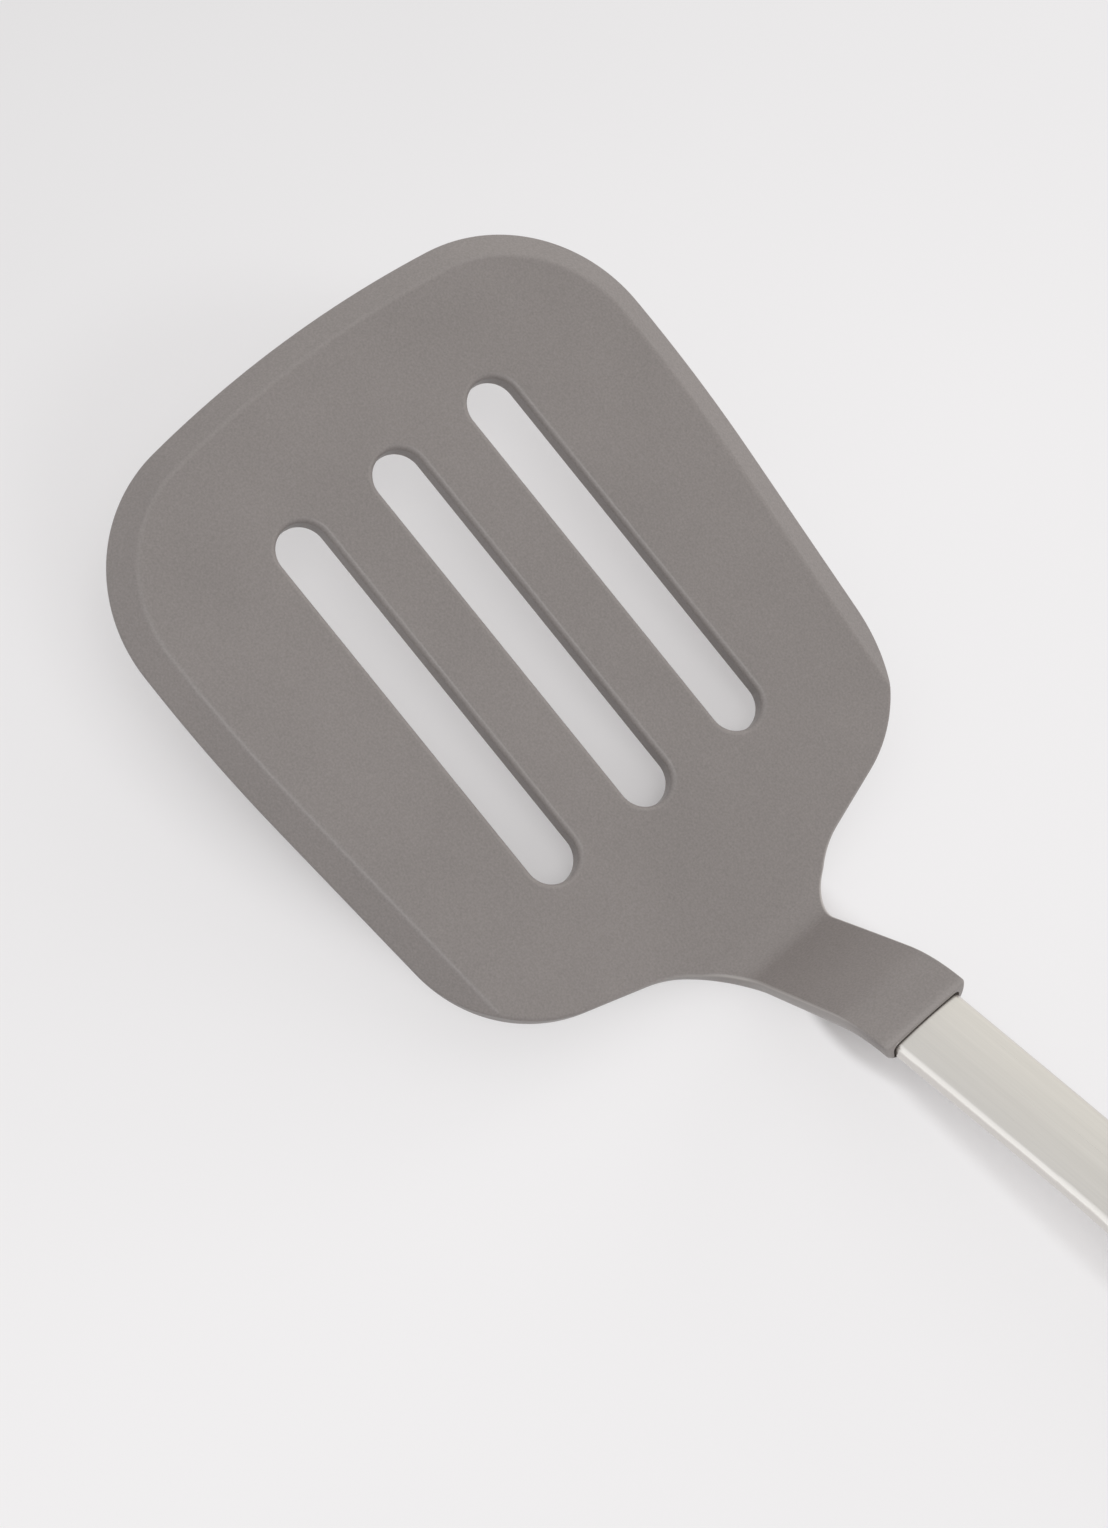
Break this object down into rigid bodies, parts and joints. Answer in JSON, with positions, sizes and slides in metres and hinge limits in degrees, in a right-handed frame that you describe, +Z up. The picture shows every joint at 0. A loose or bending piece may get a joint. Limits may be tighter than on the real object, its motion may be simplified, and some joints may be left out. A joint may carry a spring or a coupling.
{
  "type": "slotted kitchen turner",
  "caption": "Grey silicone turner with a slotted, bevelled blade, a cranked neck and a flat brushed steel handle.",
  "frame": {"origin": "on the table under the middle of the turner, as it rests on its heel and on the end of its handle", "axes": "+X from the blade to the end of the handle, +Z up, +Y across the turner"},
  "size_m": [0.338, 0.0956, 0.0463],
  "materials": {
    "silicone": "matte, warm grey",
    "spring_steel": "as rolled",
    "brushed_steel": "brushed along its length",
    "rivet_steel": "pressed"
  },
  "bodies": {
    "root": {"silicone_head": "silicone", "core_plate": "spring_steel", "handle_bar": "brushed_steel", "tang_rivet_front": "rivet_steel", "tang_rivet_rear": "rivet_steel"}
  },
  "joints": []
}
